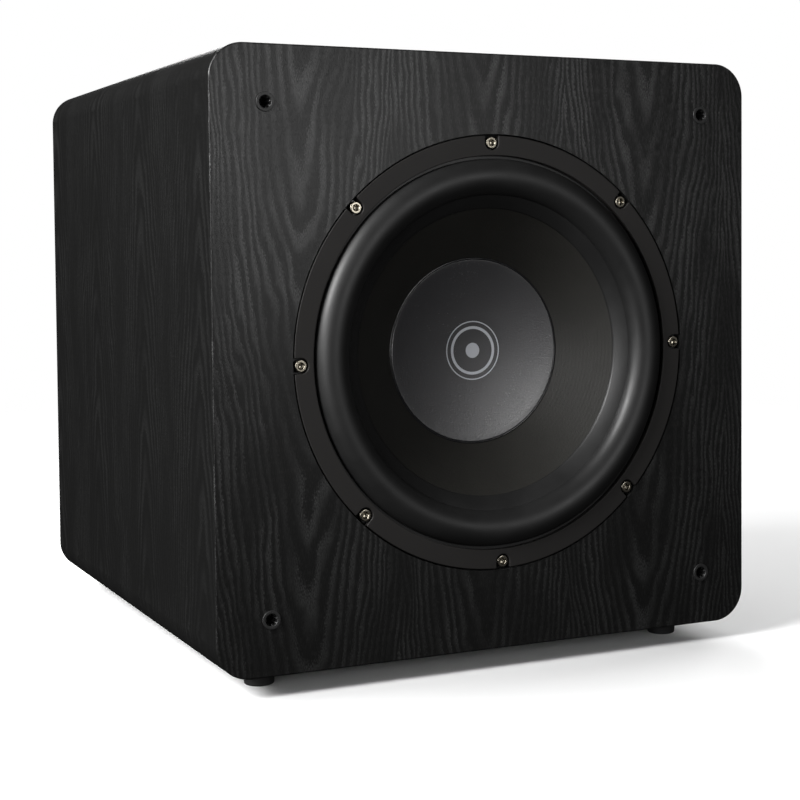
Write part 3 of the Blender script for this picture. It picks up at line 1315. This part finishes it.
def board_parts():
    low, high = span("amp_board", BACK)
    outline = rectangle(high.x - low.x, high.z - low.z, 2, (0, (low.z + high.z) / 2), 4)
    body = drawn(plate, [outline], low.y, high.y)
    piece("amplifier_board", "cabinet", "circuit_board", body, BACK, ["amp_board"])
    can = [
        (0, BOARD_FACE), (13, BOARD_FACE, 1), (13, -42.5, 0.8), (12.2, -41.5, 0.8), (13, -40.5, 0.8),
        (13, -12, 1.4), (11.4, -12, 0.2), (11.2, -12.6, 0.2), (0, -12.6),
    ]
    for index, x in enumerate((-62, -26)):
        body = drawn(lathe, can, 64, (x, 85))
        piece(f"reservoir_capacitor_{index + 1}", "cabinet", "capacitor_sleeve", body, BACK)
    standoff = [(0, BOARD_FACE), (hexagon(3), BOARD_FACE), (hexagon(3), -3.2), (0, -3.2)]
    for index, at in enumerate(((-84, -24), (84, -24), (84, 109), (-84, 109))):
        body = drawn(turned, standoff, 48, at)
        piece(f"board_standoff_{index + 1}", "cabinet", "zinc_plate", body, BACK)
    bm = bmesh.new()
    for x, z, width, height, thickness in (
        (10, 40, 30, 9, 4), (40, 20, 12, 26, 3), (0, 0, 10, 10, 2.2), (-40, 10, 14, 10, 2.2),
        (66, 40, 12, 12, 9), (20, 85, 8, 16, 6), (-10, -15, 6, 4, 1.5), (30, -15, 6, 4, 1.5),
    ):
        bar(bm, (x, z), (width / 2, height / 2), (BOARD_FACE, BOARD_FACE + thickness), 0.4)
    piece("board_components", "cabinet", "black_plastic", bm, BACK)
    winding = [
        (14, -40, 4), (18, -43, 4), (38, -43, 4), (42, -39, 4), (42, -8, 4), (38, -3.6, 4),
        (18, -3.6, 3), (14, -7, 3),
    ]
    body = drawn(lathe, winding, 128, (-50, -85), steps=4)
    piece("toroid_winding", "cabinet", "winding_tape", body, BACK, ["toroidal_transformer"])


sealed_plate()
dial_marks()
fins()
for name in KNOBS:
    control(name)
phase_switch()
power_switch()
line_inputs()
led()
mains_parts()
board_parts()

# CAD nodes that are shown as they are.
for subpart in frame["record"]["subparts"]:
    node = frame["nodes"][subpart["node"]]
    if not node.hide_render:
        node.data.materials.clear()
        node.data.materials.append(material(subpart["material_slot"]))

# ---------------------------------------------------------------------------------------------
# Stage
# ---------------------------------------------------------------------------------------------


def shine(name, azimuth, elevation, distance, size, power):
    """A square softbox aimed at the driver, or at the cabinet's middle from behind. Azimuth 0 is in front
    and 90 on the right, in degrees."""
    turn, lift = math.radians(azimuth), math.radians(elevation)
    way = Vector((math.sin(turn) * math.cos(lift), -math.cos(turn) * math.cos(lift), math.sin(lift)))
    lamp = bpy.data.lights.new(name, "AREA")
    lamp.size, lamp.energy = size, power
    made = bpy.data.objects.new(name, lamp)
    bpy.context.scene.collection.objects.link(made)
    aim = FRONT if abs(azimuth) <= 90 else (FRONT + BACK) / 2
    made.location = aim + way * distance
    made.rotation_euler = (-way).to_track_quat("-Z", "Y").to_euler()


def white_surroundings():
    """White to the camera, and a dim grey for everything that it lights."""
    world = bpy.data.worlds.new("surroundings")
    bpy.context.scene.world = world
    world.use_nodes = True
    tree = world.node_tree
    background = tree.nodes["Background"]
    path = tree.nodes.new("ShaderNodeLightPath")
    level = tree.nodes.new("ShaderNodeMapRange")
    level.inputs[3].default_value = 0.012
    level.inputs[4].default_value = 1.0
    tree.links.new(path.outputs["Is Camera Ray"], level.inputs[0])
    tree.links.new(level.outputs[0], background.inputs["Strength"])
    background.inputs["Color"].default_value = (1, 1, 1, 1)


def studio_floor():
    bm = drawn(bmesh.ops.create_circle, cap_ends=True, segments=96, radius=6)
    mesh = bpy.data.meshes.new("floor")
    bm.to_mesh(mesh)
    bm.free()
    floor = bpy.data.objects.new("floor", mesh)
    bpy.context.scene.collection.objects.link(floor)
    f = Finish("floor_paper")
    cloud = f.cloud(220, detail=3)
    reach = f.node("VectorMath", f.node("TexCoord").outputs["Object"], operation="LENGTH").outputs["Value"]
    f.set("Alpha", f.remap(reach, 0.55, 1.9, 1.0, 0.0))
    f.set("Base_Color", f.mix(cloud, (0.93, 0.93, 0.93), (0.96, 0.96, 0.96)))
    f.set("Roughness", f.scaled(cloud, 0.05, 0.9))
    mesh.materials.append(f.material)
    # The paper shows and takes shadows, but its white isn't mirrored in the film.
    floor.visible_glossy = False
    floor.visible_diffuse = False


def camera():
    made = bpy.data.objects.new("camera", bpy.data.cameras.new("camera"))
    bpy.context.scene.collection.objects.link(made)
    yaw, pitch, roll = 0.4472, 0.0451, -0.0082
    forward = Vector((math.sin(yaw) * math.cos(pitch), math.cos(yaw) * math.cos(pitch), -math.sin(pitch)))
    right = Vector((math.cos(yaw), -math.sin(yaw), 0))
    up = right.cross(forward)
    across = right * math.cos(roll) + up * math.sin(roll)
    above = up * math.cos(roll) - right * math.sin(roll)
    turn = Matrix((across, above, -forward)).transposed().to_4x4()
    made.matrix_world = Matrix.Translation((-0.5487, -1.2593, 0.3022)) @ turn
    made.data.lens, made.data.sensor_width = 74.89, 36
    made.data.shift_x, made.data.shift_y = -0.0384, -0.1008
    made.data.clip_start, made.data.clip_end = 0.05, 60
    bpy.context.scene.camera = made


white_surroundings()
studio_floor()
for light in (
    ("key_light", -75, 28, 1.8, 0.6, 48),
    ("low_light", -50, 5, 1.8, 0.6, 8),
    ("front_light", 15, 9, 1.8, 0.45, 5.2),
    ("left_light", -100, 25, 2.2, 0.8, 30),
    ("top_light", 160, 72, 2.2, 1.4, 16),
    ("side_light", 108, 30, 2.1, 1.0, 18),
    ("rear_light", 158, 25, 2.6, 1.2, 30),
):
    shine(*light)
camera()
bpy.context.scene.view_settings.view_transform = "Standard"
